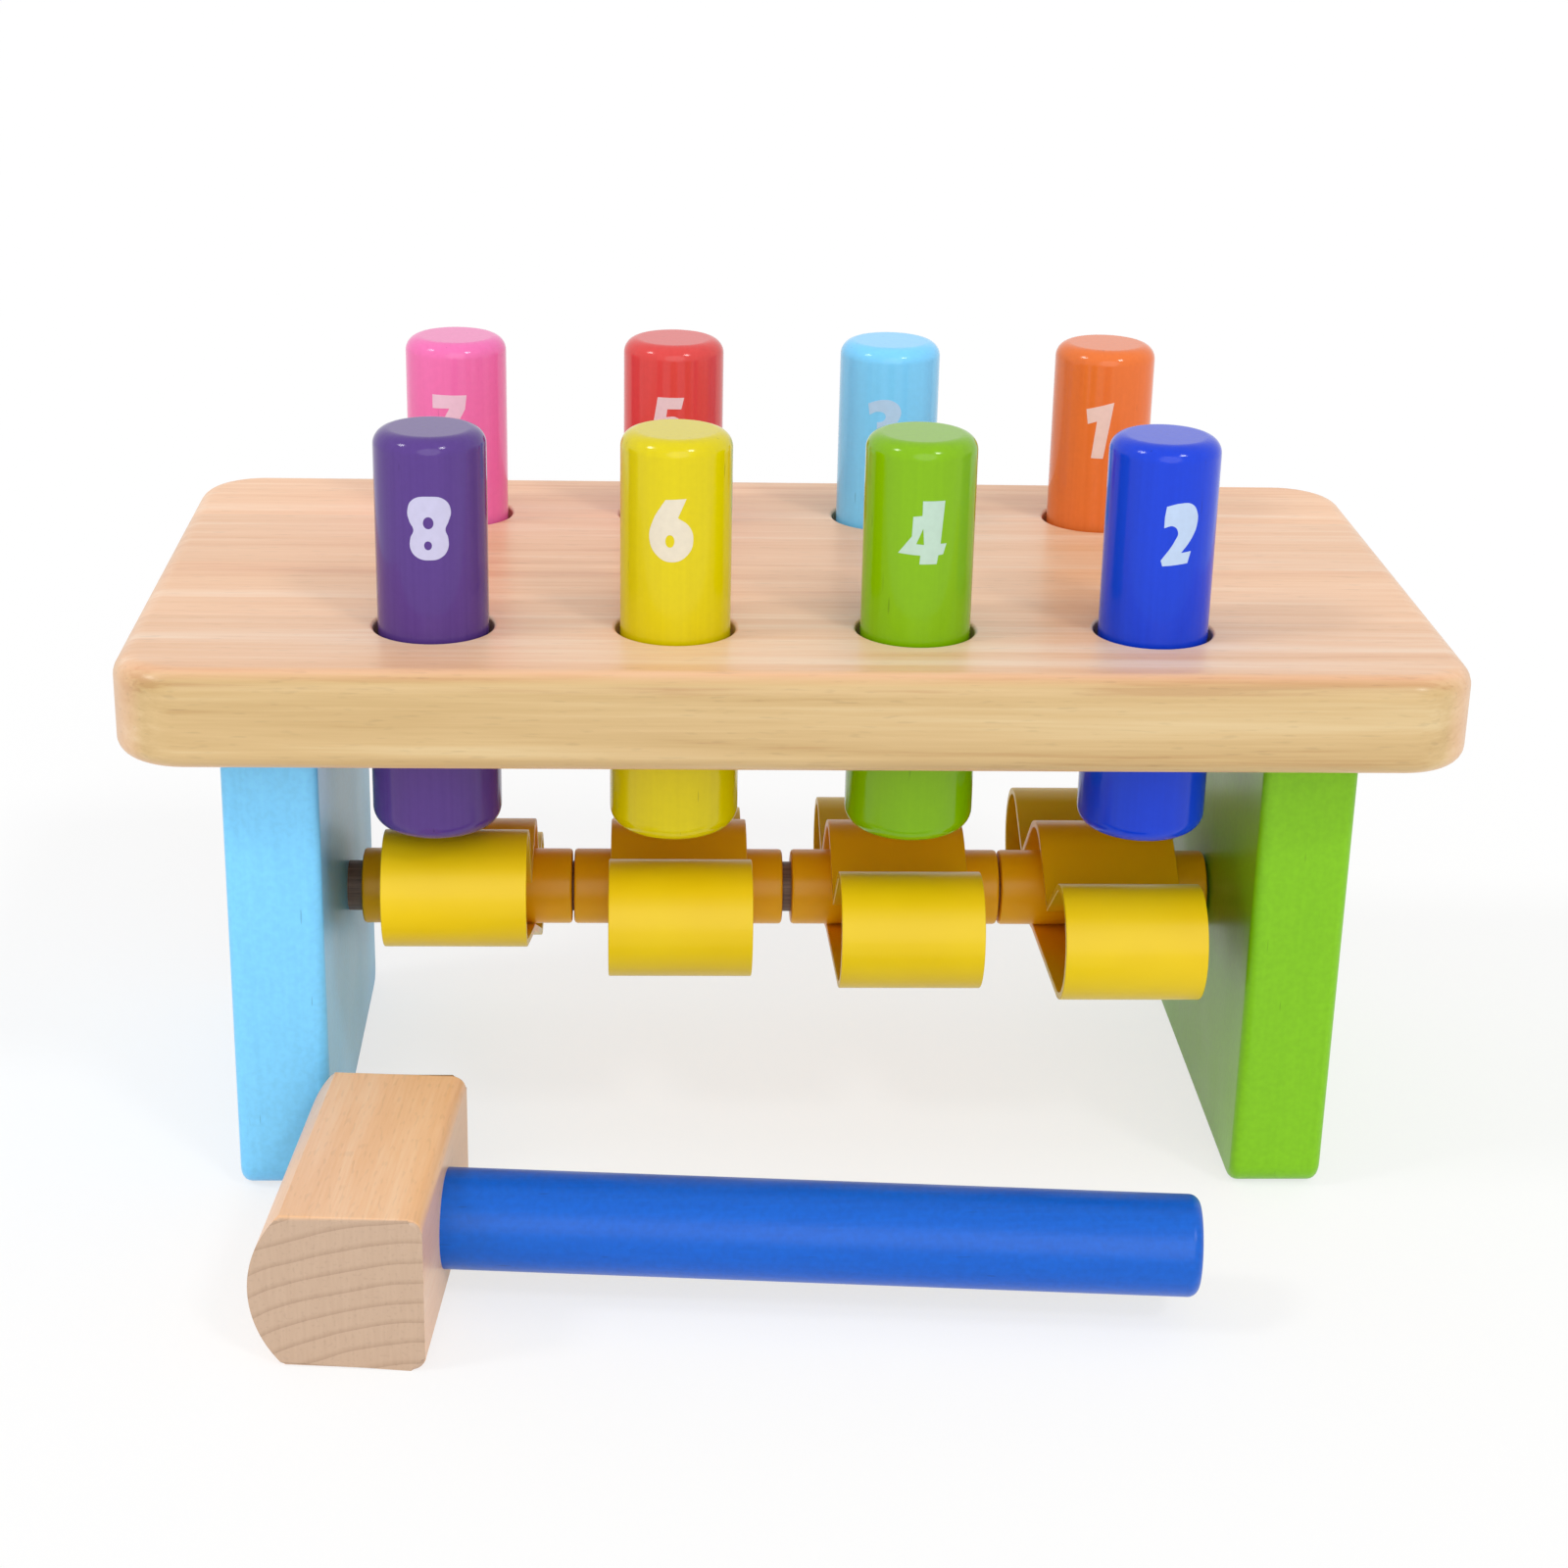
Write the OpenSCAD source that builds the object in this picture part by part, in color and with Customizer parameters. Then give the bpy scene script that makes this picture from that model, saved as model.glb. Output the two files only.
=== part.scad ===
// Peg pounding bench: a wooden bench with loose captive pegs over plastic see-saw rockers, and its mallet.
// Millimetres, +Z up, standing on z = 0. The origin is the middle of the set's footprint on the floor.

/* [Board] */
// Length of the board, left to right
board_w = 240; // [225:1:280]
// Depth of the board, front to back
board_d = 130; // [120:1:160]
// Thickness of the board
board_t = 18; // [14:0.5:24]
// Radius of the board's four corners, seen from above
board_corner_r = 13; // [6:0.5:20]
// Rounding along the board's edges
board_edge_r = 4; // [1:0.5:5]
// Height of the board's top above the floor
bench_h = 110; // [104:1:140]

/* [Legs] */
// Thickness of a leg panel
leg_t = 17.5; // [14:0.5:24]
// How far a leg reaches past the rows of pegs, front and back
leg_beyond = 10; // [4:0.5:14]
// Distance from the end of the board to the outer face of a leg
leg_set_in = 16.5; // [5:0.5:20]
// Radius of a leg's lower corners, seen from the side
leg_corner_r = 5; // [4:0.5:15]
// Rounding along a leg's edges
leg_edge_r = 2; // [1:0.5:3.5]

/* [Dowels and axle] */
// Diameter of the wooden dowels between legs and board
dowel_d = 8; // [5:0.5:10]
// How far a dowel reaches into the board
dowel_in_board = 11; // [6:0.5:12]
// How far a dowel reaches into a leg
dowel_in_leg = 19; // [8:0.5:25]
// Distance between the two dowels of a leg
dowel_spacing = 50; // [30:1:60]
// Diameter of the axle rod
axle_d = 10; // [7:0.5:11]
// How far the axle reaches into each leg
axle_in_leg = 9; // [6:0.5:12]
// Depth of the axle below the underside of the board
axle_drop = 49; // [47:0.5:51]
// Room for glue round a dowel, the axle's ends and the mallet's handle
glue_gap = 0.05; // [0.02:0.01:0.1]

/* [Pegs] */
// Distance from the outer pegs' middle to the leg beside them
peg_end_space = 20.75; // [17:0.25:24]
// Distance of each row of pegs from the middle of the bench
peg_row = 37; // [34:0.5:40]
// Diameter of a peg's shank
peg_d = 20; // [16:0.5:24]
// How far the thicker lower end, which keeps a peg captive, stands out beyond the shank
peg_collar = 1.8; // [1.2:0.1:2.5]
// Gap round the shank in its hole
peg_gap = 0.8; // [0.3:0.1:0.9]
// How far a raised peg stands out of the board
peg_out = 36.5; // [30:0.5:45]
// How far a raised peg reaches down below the board
peg_below = 20; // [16:0.5:22]
// Travel left between a raised peg's thick end and the board
peg_play = 1.5; // [1.4:0.1:3]
// Rounding of a peg's upper edge
peg_top_r = 3; // [1:0.1:4]
// Rounding of a peg's lower edge
peg_low_r = 3.5; // [1:0.1:5]
// Rounding of the shoulder above the thick end
peg_shoulder_r = 1; // [0.5:0.1:1.2]
// Bevel round the mouth of a peg's hole
hole_bevel = 0.4; // [0.2:0.1:1]

/* [Rockers] */
// Radius of the round lobe at each end of a rocker
lobe_r = 11; // [9:0.5:12]
// How far the hub stands out beside the lobes
hub_out = 7.35; // [4:0.05:10]
// Radius of the hump over the axle
hump_r = 13.5; // [11:0.5:14]
// How far a rocker's floor lies below its hub
floor_below = 1.5; // [0.5:0.1:1.5]
// Thickness of a rocker's wall
rocker_wall = 1.8; // [1.6:0.1:2.6]
// Thickness of the web that carries the hub
rocker_web = 2.4; // [1.6:0.1:4]
// Thickness of the hub's wall
hub_wall = 2.42; // [2:0.02:3]
// Gap between hubs that lie against each other, and at the right leg
hub_gap = 0.4; // [0.3:0.1:0.6]
// Gap left open between the second and the third hub
hub_middle_gap = 1.8; // [0.4:0.1:3]
// Gap left open between the first hub and the left leg
hub_left_gap = 3; // [0.4:0.1:5]
// Running clearance of a hub on the axle
axle_clear = 0.08; // [0.03:0.01:0.1]
// Slope of the wall between a valley and the lobe
lobe_slope = 31; // [31:1:33]
// Slope of the wall between a valley and the hump
hump_slope = 36; // [33:1:38]
// Resting tilt of the first rocker, front end up
rocker_1_turn = 22.5; // [0:0.5:24]
// Resting tilt of the second rocker, front end up
rocker_2_turn = 14; // [0:0.5:24]
// Resting tilt of the third rocker, front end up
rocker_3_turn = 10.5; // [0:0.5:24]
// Resting tilt of the fourth rocker, front end up
rocker_4_turn = 7; // [0:0.5:24]

/* [Mallet] */
// Length of the head from striking face to striking face
head_l = 54; // [45:1:80]
// Height of the head as it lies
head_h = 29; // [26:0.5:40]
// Depth of the head along the handle, with its bulge
head_w = 30; // [28:0.5:40]
// Radius of the head's bulging back
head_bulge_r = 21; // [20:0.5:30]
// Rounding of the head's edges on the handle's side
head_edge_r = 2.5; // [1:0.5:5]
// Diameter of the handle
handle_d = 18; // [14:0.5:22]
// Length of the handle outside the head
handle_out = 133; // [100:1:160]
// Depth of the handle's socket in the head
handle_in = 20; // [12:0.5:24]
// Rounding of the handle's free end
handle_end_r = 3; // [1:0.5:6]
// Rounding of the handle's end in the socket
handle_in_r = 1; // [0.5:0.5:3]
// Distance of the handle's axis in front of the bench's middle, at the head
mallet_ahead = 83; // [80:1:120]
// Distance of the head's handle side to the left of the bench's middle
mallet_left = 61.8; // [40:0.2:75]
// Turn of the mallet on the floor, handle's end towards the front
mallet_turn = 4.5; // [0:0.5:10]

/* [Hidden] */
$fn = 96;
// Segments of the rounded slabs
slab_fn = 32;
// Steps round a rocker's lobes and over its hump
lobe_steps = 48;
hump_steps = 18;
// Overshoot of a cut past the face that it goes through
cut = 1;

// The mallet's front corner and the board's back edge set the middle of the footprint
front_reach = mallet_ahead + head_l / 2 * cos(mallet_turn);
bench_y = (front_reach - board_d / 2) / 2;

board_z = bench_h - board_t;
leg_x = board_w / 2 - leg_set_in - leg_t / 2;
leg_inner_x = leg_x - leg_t / 2;

leg_d = 2 * (peg_row + leg_beyond);
axle_h = board_z - axle_drop;

peg_pitch = 2 * (leg_inner_x - peg_end_space) / 3;
peg_r = peg_d / 2;
hole_r = peg_r + peg_gap;
peg_head_r = peg_r + peg_collar;
peg_top_z = bench_h + peg_out;
peg_low_z = board_z - peg_below;
peg_head_top_z = board_z - peg_play;
// Columns of pegs from left to right
column_x = [for (i = [0 : 3]) (i - 1.5) * peg_pitch];

axle_r = axle_d / 2;
hub_bore_r = axle_r + axle_clear;
hub_r = hub_bore_r + hub_wall;
floor_r = hub_r + floor_below;
// The four hubs lie along the axle towards the right leg, and the play is left at the middle and the left
hub_l = (2 * leg_inner_x - 3 * hub_gap - hub_middle_gap - hub_left_gap) / 4;
lobe_w = hub_l - 2 * hub_out;
rocker_4_x = leg_inner_x - hub_gap - hub_l / 2;
rocker_3_x = rocker_4_x - hub_l - hub_gap;
rocker_2_x = rocker_3_x - hub_l - hub_middle_gap;
rocker_1_x = rocker_2_x - hub_l - hub_gap;
pocket_l = (lobe_w - rocker_web) / 2;

handle_r = handle_d / 2;

beech = "#E5C59B";
pale_beech = "#E0BB95";

// Plate with rounded corners and edges, lying on z = 0
module rounded_slab(length, depth, thickness, corner_r, edge_r) {
    hull()
        for (x = [-1, 1], y = [-1, 1], z = [edge_r, thickness - edge_r])
            translate([x * (length / 2 - corner_r), y * (depth / 2 - corner_r), z])
                rotate_extrude($fn = slab_fn)
                    translate([corner_r - edge_r, 0])
                        circle(edge_r, $fn = slab_fn);
}

// Outline of a turned rod, half of it, with both ends' edges rounded
module rod_half(r, low, high, low_r, high_r) {
    translate([0, low + low_r])
        square([r, high - low - low_r - high_r]);
    translate([0, low])
        square([r - low_r, low_r]);
    translate([r - low_r, low + low_r])
        circle(low_r);
    translate([0, high - high_r])
        square([r - high_r, high_r]);
    translate([r - high_r, high - high_r])
        circle(high_r);
}

module at_dowel(side, row) {
    translate([side * leg_x, bench_y + row * dowel_spacing / 2, board_z])
        children();
}

module dowel_holes() {
    for (side = [-1, 1], row = [-1, 1])
        at_dowel(side, row)
            translate([0, 0, -dowel_in_leg])
                cylinder(h = dowel_in_leg + dowel_in_board, r = dowel_d / 2 + glue_gap);
}

module along_axle(from_x, to_x, r) {
    translate([from_x, bench_y, axle_h])
        rotate([0, 90, 0])
            cylinder(h = to_x - from_x, r = r);
}

module top_board() {
    color(beech)
        difference() {
            translate([0, bench_y, board_z])
                rounded_slab(board_w, board_d, board_t, board_corner_r, board_edge_r);
            for (x = column_x, row = [-1, 1])
                translate([x, bench_y + row * peg_row, board_z])
                    peg_hole();
            dowel_holes();
        }
}

// Bore for one peg with a small bevel at its upper mouth
module peg_hole() {
    translate([0, 0, -cut])
        cylinder(h = board_t + 2 * cut, r = hole_r);
    translate([0, 0, board_t - hole_bevel])
        cylinder(h = 2 * hole_bevel, r1 = hole_r, r2 = hole_r + 2 * hole_bevel);
}

// Panel that stands on the floor, square where it meets the board
module leg(side) {
    difference() {
        translate([side * leg_x - leg_t / 2, bench_y, (board_z + leg_corner_r) / 2])
            rotate([0, 90, 0])
                rounded_slab(board_z + leg_corner_r, leg_d, leg_t, leg_corner_r, leg_edge_r);
        translate([side * leg_x - leg_t, bench_y - leg_d, board_z])
            cube([2 * leg_t, 2 * leg_d, 2 * leg_corner_r]);
        dowel_holes();
        along_axle(-leg_inner_x - axle_in_leg, leg_inner_x + axle_in_leg, axle_r + glue_gap);
    }
}

module left_leg() {
    color("#85D3FA")
        leg(-1);
}

module right_leg() {
    color("#8BCB3C")
        leg(1);
}

module axle() {
    color("#6B5344")
        along_axle(-leg_inner_x - axle_in_leg, leg_inner_x + axle_in_leg, axle_r);
}

module dowel(side, row) {
    color(pale_beech)
        at_dowel(side, row)
            translate([0, 0, -dowel_in_leg])
                cylinder(h = dowel_in_leg + dowel_in_board, r = dowel_d / 2);
}

module left_front_dowel() {
    dowel(-1, -1);
}

module left_back_dowel() {
    dowel(-1, 1);
}

module right_front_dowel() {
    dowel(1, -1);
}

module right_back_dowel() {
    dowel(1, 1);
}

// Where the wall from the lobe and the wall from the hump meet, set in from the outer face
function valley_x(inset) =
    ((hump_r - inset) / cos(hump_slope) - (lobe_r - inset) / cos(lobe_slope) + peg_row * tan(lobe_slope))
    / (tan(lobe_slope) + tan(hump_slope));
function valley_y(inset) = (hump_r - inset) / cos(hump_slope) - valley_x(inset) * tan(hump_slope);

// Points along an arc, from one angle to another
function arc(x, r, from, to, steps) =
    [for (i = [0 : steps]) let (a = from + (to - from) * i / steps) [x + r * cos(a), r * sin(a)]];

// Side view of a rocker, set in from its outer face: two lobes, a hump between valleys, and a floor below
module rocker_outline(inset) {
    lobe = lobe_r - inset;
    run = asin((lobe_r - floor_r) / peg_row);
    polygon(concat(
        [[0, (inset - floor_r) / cos(run)]],
        arc(peg_row, lobe, run - 90, lobe_slope + 90, lobe_steps),
        [[valley_x(inset), valley_y(inset)]],
        arc(0, hump_r - inset, 90 - hump_slope, 90 + hump_slope, hump_steps),
        [[-valley_x(inset), valley_y(inset)]],
        arc(-peg_row, lobe, 90 - lobe_slope, 270 - run, lobe_steps)
    ));
}

// One moulding on the axle: a wall round two lobes and a hump, open at both sides, on a web and a hub
module rocker(x, tilt) {
    color("#F2D52E")
        translate([x, bench_y, axle_h])
            rotate([-tilt, 0, 0])
                rotate([90, 0, 90])
                    difference() {
                        union() {
                            difference() {
                                translate([0, 0, -lobe_w / 2])
                                    linear_extrude(lobe_w)
                                        rocker_outline(0);
                                for (side = [0, 1])
                                    mirror([0, 0, side])
                                        translate([0, 0, rocker_web / 2])
                                            linear_extrude(pocket_l + cut)
                                                rocker_outline(rocker_wall);
                            }
                            cylinder(h = hub_l, r = hub_r, center = true);
                        }
                        cylinder(h = hub_l + 2 * cut, r = hub_bore_r, center = true);
                    }
}

module rocker_1() {
    rocker(rocker_1_x, rocker_1_turn);
}

module rocker_2() {
    rocker(rocker_2_x, rocker_2_turn);
}

module rocker_3() {
    rocker(rocker_3_x, rocker_3_turn);
}

module rocker_4() {
    rocker(rocker_4_x, rocker_4_turn);
}

// Turned peg at its raised place, with the thicker end below the board
module peg(column, row, paint) {
    color(paint)
        translate([column_x[column], bench_y + row * peg_row, 0])
            rotate_extrude() {
                rod_half(peg_r, peg_low_z + peg_low_r, peg_top_z, peg_shoulder_r, peg_top_r);
                rod_half(peg_head_r, peg_low_z, peg_head_top_z, peg_low_r, peg_shoulder_r);
            }
}

module peg_1() {
    peg(3, 1, "#EB7A3C");
}

module peg_2() {
    peg(3, -1, "#2A4FCC");
}

module peg_3() {
    peg(2, 1, "#7CBBEC");
}

module peg_4() {
    peg(2, -1, "#7FB426");
}

module peg_5() {
    peg(1, 1, "#DA4B48");
}

module peg_6() {
    peg(1, -1, "#E3D41C");
}

module peg_7() {
    peg(0, 1, "#F07CB0");
}

module peg_8() {
    peg(0, -1, "#654694");
}

// The mallet's place on the floor: the handle runs along +X from the head's handle side
module at_mallet() {
    translate([-mallet_left, bench_y - mallet_ahead, head_h / 2])
        rotate([0, 0, -mallet_turn])
            children();
}

// End view of the head: flat on the handle's side, above and below, and bulging at the back
module head_outline() {
    intersection() {
        union() {
            translate([-head_w, -head_h / 2])
                square([head_w - head_edge_r, head_h]);
            translate([-head_w, -head_h / 2 + head_edge_r])
                square([head_w, head_h - 2 * head_edge_r]);
            for (y = [-1, 1])
                translate([-head_edge_r, y * (head_h / 2 - head_edge_r)])
                    circle(head_edge_r);
        }
        translate([head_bulge_r - head_w, 0])
            circle(head_bulge_r);
    }
}

module mallet_head() {
    color(pale_beech)
        at_mallet()
            difference() {
                rotate([90, 0, 0])
                    linear_extrude(head_l, center = true)
                        head_outline();
                translate([-handle_in, 0, 0])
                    rotate([0, 90, 0])
                        cylinder(h = handle_in + cut, r = handle_r + glue_gap);
            }
}

module mallet_handle() {
    color("#2369D7")
        at_mallet()
            rotate([0, 90, 0])
                rotate_extrude()
                    rod_half(handle_r, -handle_in, handle_out, handle_in_r, handle_end_r);
}

top_board();
left_leg();
right_leg();
axle();
left_front_dowel();
left_back_dowel();
right_front_dowel();
right_back_dowel();
rocker_1();
rocker_2();
rocker_3();
rocker_4();
peg_1();
peg_2();
peg_3();
peg_4();
peg_5();
peg_6();
peg_7();
peg_8();
mallet_head();
mallet_handle();
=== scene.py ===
import math

import bmesh
import bpy
from mathutils import Matrix, Vector


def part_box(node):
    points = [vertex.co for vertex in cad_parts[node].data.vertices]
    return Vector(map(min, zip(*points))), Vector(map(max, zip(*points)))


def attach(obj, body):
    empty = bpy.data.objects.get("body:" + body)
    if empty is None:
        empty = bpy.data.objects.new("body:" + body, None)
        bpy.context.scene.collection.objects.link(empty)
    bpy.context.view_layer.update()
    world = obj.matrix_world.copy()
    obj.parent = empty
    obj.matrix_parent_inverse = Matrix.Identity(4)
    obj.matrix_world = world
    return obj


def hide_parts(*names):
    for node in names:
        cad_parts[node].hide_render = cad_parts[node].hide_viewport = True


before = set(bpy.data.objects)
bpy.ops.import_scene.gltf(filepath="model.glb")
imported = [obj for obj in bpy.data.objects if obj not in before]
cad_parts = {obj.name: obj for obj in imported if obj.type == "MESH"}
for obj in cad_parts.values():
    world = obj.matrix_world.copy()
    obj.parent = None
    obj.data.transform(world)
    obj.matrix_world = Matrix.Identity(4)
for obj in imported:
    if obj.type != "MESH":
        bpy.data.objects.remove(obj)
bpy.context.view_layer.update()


# Leg panels: two plain boards of solid wood that carry the bench, one sky blue, one leaf green.
# Sawn, sanded round along every edge but the top, sprayed with gloss lacquer,
# and glued under the board.
def linear(colour):
    """An sRGB hex colour as the linear colour that a shader takes."""
    parts = [int(colour[i:i + 2], 16) / 255 for i in (1, 3, 5)]
    return [c / 12.92 if c <= 0.04045 else ((c + 0.055) / 1.055) ** 2.4 for c in parts] + [1.0]


def add_node(tree, kind, settings=None, links=None):
    """Adds a shader node. Settings go to its properties or sockets, links to its sockets."""
    node = tree.nodes.new(kind)
    for key, value in (settings or {}).items():
        if key == "stops":
            ramp = node.color_ramp.elements
            while len(ramp) < len(value):
                ramp.new(0.5)
            for stop, (position, colour) in zip(ramp, value):
                stop.position = position
                stop.color = linear(colour)
        elif isinstance(key, str) and hasattr(node, key):
            setattr(node, key, value)
        else:
            node.inputs[key].default_value = value
    for key, output in (links or {}).items():
        tree.links.new(output, node.inputs[key])
    return node


def new_material(name):
    material = bpy.data.materials.new(name)
    material.use_nodes = True
    material.node_tree.nodes.clear()
    return material, material.node_tree


def gloss_lacquer(name, colour, shade, grain, gloss=0.12, relief=0.015):
    """Pigmented nitro lacquer sprayed over sanded wood: a closed glossy film, drawn paler on the
    arrises as a painted highlight.
    The wood's fibres still show as faint ridges, and the film is a touch darker between them."""
    material, tree = new_material(name)
    place = add_node(tree, "ShaderNodeTexCoord")
    # Fibres 0.9 mm wide and some 40 mm long, drawn coarser than real ones so that they show
    stretch = add_node(tree, "ShaderNodeMapping",
                       {"Scale": [1 / 0.040 if g else 1 / 0.0009 for g in grain]},
                       {"Vector": place.outputs["Object"]})
    fibres = add_node(tree, "ShaderNodeTexNoise", {"Scale": 1.0, "Detail": 4.0, "Roughness": 0.6},
                      {"Vector": stretch.outputs["Vector"]})
    tone = add_node(tree, "ShaderNodeValToRGB", {"stops": [(0.25, shade), (0.75, colour)]},
                    {"Fac": fibres.outputs["Fac"]})
    # A few open pores, 0.7 mm by 6 mm, where the film has sunk
    pores_at = add_node(tree, "ShaderNodeMapping",
                        {"Scale": [1 / 0.006 if g else 1 / 0.0007 for g in grain]},
                        {"Vector": place.outputs["Object"]})
    pores = add_node(tree, "ShaderNodeTexNoise", {"Scale": 1.0, "Detail": 0.0},
                     {"Vector": pores_at.outputs["Vector"]})
    sunk = add_node(tree, "ShaderNodeMapRange",
                    {"From Min": 0.83, "From Max": 0.88, "To Min": 1.0, "To Max": 0.75},
                    {"Value": pores.outputs["Fac"]})
    # Painted highlight: the colour is drawn up to 7 % paler along sharp convex edges
    form = add_node(tree, "ShaderNodeNewGeometry")
    arris_highlight = add_node(tree, "ShaderNodeMapRange",
                    {"From Min": 0.52, "From Max": 0.60, "To Min": 1.0, "To Max": 1.07},
                    {"Value": form.outputs["Pointiness"]})
    # Spray orange peel, 1.1 mm from dimple to dimple, drawn darker in the dimples and paler on the
    # crests as painted shade and glint
    peel = add_node(tree, "ShaderNodeTexNoise", {"Scale": 1 / 0.0011, "Detail": 1.0},
                    {"Vector": place.outputs["Object"]})
    peel_shade_and_glint = add_node(tree, "ShaderNodeMapRange",
                       {"From Min": 0.3, "From Max": 0.7, "To Min": 1 - relief,
                        "To Max": 1 + relief}, {"Value": peel.outputs["Fac"]})
    level = add_node(tree, "ShaderNodeMath", {"operation": "MULTIPLY"},
                     {0: sunk.outputs["Result"], 1: arris_highlight.outputs["Result"]})
    level = add_node(tree, "ShaderNodeMath", {"operation": "MULTIPLY"},
                     {0: level.outputs["Value"], 1: peel_shade_and_glint.outputs["Result"]})
    film = add_node(tree, "ShaderNodeVectorMath", {"operation": "SCALE"},
                    {0: tone.outputs["Color"], "Scale": level.outputs["Value"]})
    # Cloudy sheen, about 14 mm from cloud to cloud
    clouds = add_node(tree, "ShaderNodeTexNoise", {"Scale": 1 / 0.014, "Detail": 2.0},
                      {"Vector": place.outputs["Object"]})
    sheen = add_node(tree, "ShaderNodeMapRange", {"To Min": gloss - 0.04, "To Max": gloss + 0.06},
                     {"Value": clouds.outputs["Fac"]})
    ridges = add_node(tree, "ShaderNodeBump", {"Strength": relief, "Distance": 0.0004},
                      {"Height": fibres.outputs["Fac"]})
    skin = add_node(tree, "ShaderNodeBump", {"Strength": 0.03, "Distance": 0.0003},
                    {"Height": peel.outputs["Fac"], "Normal": ridges.outputs["Normal"]})
    shader = add_node(tree, "ShaderNodeBsdfPrincipled", {"IOR": 1.36},
                      {"Base Color": film.outputs["Vector"], "Roughness": sheen.outputs["Result"],
                       "Normal": skin.outputs["Normal"]})
    add_node(tree, "ShaderNodeOutputMaterial", None, {"Surface": shader.outputs["BSDF"]})
    return material


def set_piece(name, bm, material, body, node, crease=35):
    """Makes a finished mesh a piece that moves with its body and stands for its solid."""
    bmesh.ops.recalc_face_normals(bm, faces=bm.faces)
    mesh = bpy.data.meshes.new(name)
    bm.to_mesh(mesh)
    bm.free()
    mesh.shade_smooth()
    mesh.set_sharp_from_angle(angle=math.radians(crease))
    mesh.materials.append(material)
    piece = bpy.data.objects.new(name, mesh)
    bpy.context.scene.collection.objects.link(piece)
    flat_faces = piece.modifiers.new("flat_faces", "WEIGHTED_NORMAL")
    flat_faces.keep_sharp = True
    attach(piece, body)
    if node:
        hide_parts(node)
    return piece


foot_round, arris_round = 0.005, 0.002
near = 1e-6

for side, colour, shade, slot in (("left", "#7BCDFB", "#76C8F7", "sky_blue_lacquer"),
                                  ("right", "#7DBD12", "#78B80E", "leaf_green_lacquer")):
    low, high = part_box(side + "_leg")
    bm = bmesh.new()
    bmesh.ops.create_cube(bm, size=1.0)
    for v in bm.verts:
        v.co = [low[i] if v.co[i] < 0 else high[i] for i in range(3)]
    corners = [e for e in bm.edges if all(v.co.z == low.z for v in e.verts)
               and e.verts[0].co.y == e.verts[1].co.y]
    bmesh.ops.bevel(bm, geom=corners, offset=foot_round, segments=8, profile=0.5, affect="EDGES")
    rims = [e for e in bm.edges if abs(e.verts[0].co.x - e.verts[1].co.x) < near
            and not all(v.co.z > high.z - near for v in e.verts)]
    bmesh.ops.bevel(bm, geom=rims, offset=arris_round, segments=5, profile=0.5, affect="EDGES")
    lacquer = gloss_lacquer(slot, colour, shade, grain=(0, 0, 1), gloss=0.32, relief=0.04)
    set_piece(side + "_leg_panel", bm, lacquer, "bench", side + "_leg")


# Axle: a turned hardwood rod between the legs, stained dark brown.
# Its ends are glued into blind sockets, and it shows only where the rockers leave a gap.
stained, tree = new_material("brown_stained_hardwood")
place = add_node(tree, "ShaderNodeTexCoord")
# Pores 0.5 mm wide and about 12 mm long that take up more stain
stretch = add_node(tree, "ShaderNodeMapping", {"Scale": [1 / 0.012, 1 / 0.0005, 1 / 0.0005]},
                   {"Vector": place.outputs["Object"]})
pores = add_node(tree, "ShaderNodeTexNoise", {"Scale": 1.0, "Detail": 5.0, "Roughness": 0.65},
                 {"Vector": stretch.outputs["Vector"]})
stain = add_node(tree, "ShaderNodeValToRGB", {"stops": [(0.35, "#5C483D"), (0.7, "#8F7667")]},
                 {"Fac": pores.outputs["Fac"]})
raised = add_node(tree, "ShaderNodeBump", {"Strength": 0.2, "Distance": 0.0003},
                  {"Height": pores.outputs["Fac"]})
shader = add_node(tree, "ShaderNodeBsdfPrincipled", {"Roughness": 0.5, "IOR": 1.5},
                  {"Base Color": stain.outputs["Color"], "Normal": raised.outputs["Normal"]})
add_node(tree, "ShaderNodeOutputMaterial", None, {"Surface": shader.outputs["BSDF"]})
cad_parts["axle"].data.materials.clear()
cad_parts["axle"].data.materials.append(stained)


# Rockers: see-saws of yellow ABS that push one peg up when the peg across from it is struck.
# Each is one moulding: a thin wall round two lobes and a hump, open at both sides,
# on a web at mid length and a tube hub that turns on the axle.
lobe_r, arm, hump_r, floor_r, wall = 0.011, 0.037, 0.0135, 0.009, 0.0014
hub_r, bore_r, hub_out, hub_round = 0.0075, 0.00508, 0.00735, 0.0006
rim_round, web_half, web_inset = 0.00025, 0.0012, 0.6 * wall
floor_steps, lobe_steps, hump_steps, hub_steps = 8, 60, 12, 72
lobe_slope, hump_slope = math.radians(31), math.radians(36)
floor_slope = math.asin((lobe_r - floor_r) / arm)


def rocker_outline(inset):
    """The rocker's side view as (along the arm, up) points, set in from its outer face."""
    lobe, hump = lobe_r - inset, hump_r - inset
    rise = math.tan(lobe_slope) + math.tan(hump_slope)
    valley_x = (hump / math.cos(hump_slope) - lobe / math.cos(lobe_slope)
                + arm * math.tan(lobe_slope)) / rise
    valley_z = hump / math.cos(hump_slope) - valley_x * math.tan(hump_slope)
    quarter = math.pi / 2
    half = []
    for i in range(floor_steps):
        t = i / floor_steps
        half.append((t * (arm + lobe * math.sin(floor_slope)),
                     -(floor_r - inset) / math.cos(floor_slope) * (1 - t)
                     - lobe * math.cos(floor_slope) * t))
    for i in range(lobe_steps + 1):
        a = floor_slope - quarter + (lobe_slope + 2 * quarter - floor_slope) * i / lobe_steps
        half.append((arm + lobe * math.cos(a), lobe * math.sin(a)))
    half.append((valley_x, valley_z))
    for i in range(hump_steps + 1):
        a = quarter - hump_slope + hump_slope * i / hump_steps
        half.append((hump * math.cos(a), hump * math.sin(a)))
    return half + [(-x, z) for x, z in reversed(half[1:-1])]


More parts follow.
